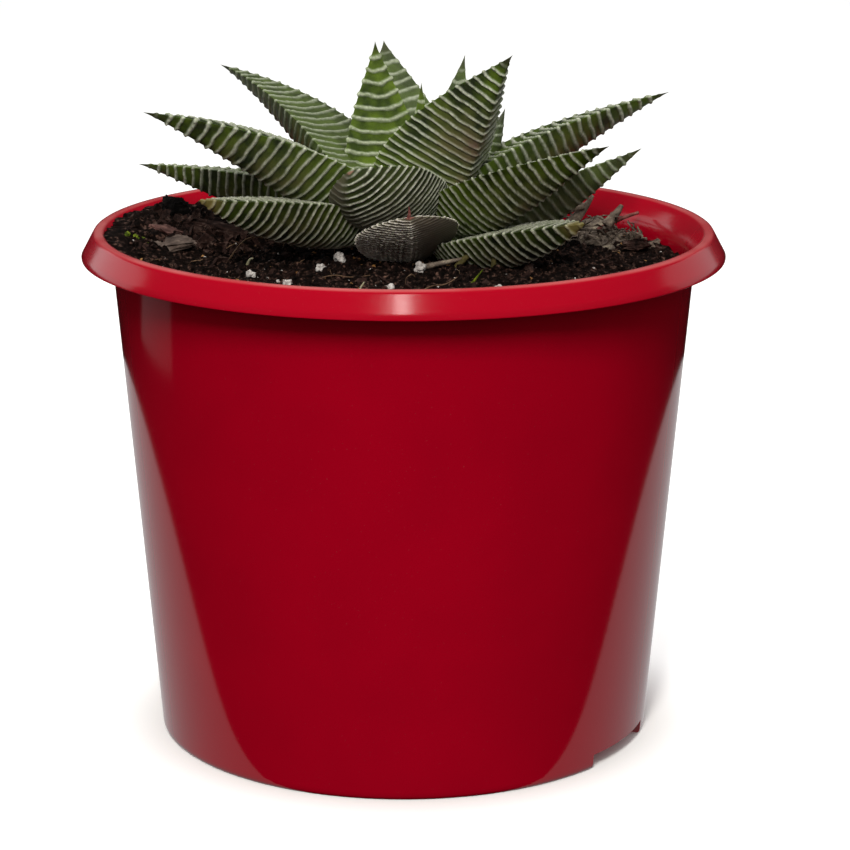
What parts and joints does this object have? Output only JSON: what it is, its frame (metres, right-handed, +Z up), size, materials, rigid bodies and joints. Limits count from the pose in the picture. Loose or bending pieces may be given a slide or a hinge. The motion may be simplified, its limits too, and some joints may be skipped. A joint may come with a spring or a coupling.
{
  "type": "potted rosette succulent",
  "caption": "Rosette succulent with ridged, pointed leaves, growing in potting mix in a round tapered nursery pot with a rolled rim.",
  "frame": {"origin": "centre of the pot's foot, on the surface that the pot stands on", "axes": "+Z up along the pot's axis, -Y towards the front of the plant, +X to the right"},
  "size_m": [0.14, 0.14, 0.1523],
  "materials": {
    "pot": "gloss injection-moulded polypropylene",
    "potting_mix": "damp peat and bark crumbs",
    "stem": "matt living stem",
    "leaf": "waxy skin with raised pale ridges",
    "bark": "weathered pine bark",
    "perlite": "rough expanded mineral"
  },
  "bodies": {
    "root": {"pot": "pot", "potting_mix": "potting_mix", "stem": "stem", "leaf_heart": "leaf", "leaf_spike": "leaf", "leaf_upright": "leaf", "leaf_keeled": "leaf", "leaf_front_plump": "leaf", "leaf_back_tall": "leaf", "leaf_back_slim": "leaf", "leaf_back_inner": "leaf", "leaf_right_inner": "leaf", "leaf_left_high": "leaf", "leaf_right_high": "leaf", "leaf_left_middle": "leaf", "leaf_right_front": "leaf", "leaf_back_left": "leaf", "leaf_back_right": "leaf", "leaf_left_back": "leaf", "leaf_right_middle": "leaf", "leaf_left_low": "leaf", "leaf_right_back": "leaf", "leaf_back_low": "leaf", "leaf_back_left_low": "leaf", "leaf_right_low": "leaf", "leaf_front_short": "leaf", "bark_chip_flat": "bark", "bark_chip_red": "bark", "bark_chip_black": "bark", "bark_chip_long": "bark", "bark_chip_back": "bark", "bark_chip_right": "bark", "perlite_grain_1": "perlite", "perlite_grain_2": "perlite", "perlite_grain_3": "perlite", "perlite_grain_4": "perlite", "perlite_grain_5": "perlite", "perlite_grain_6": "perlite", "perlite_grain_7": "perlite", "perlite_grain_8": "perlite"}
  },
  "joints": []
}
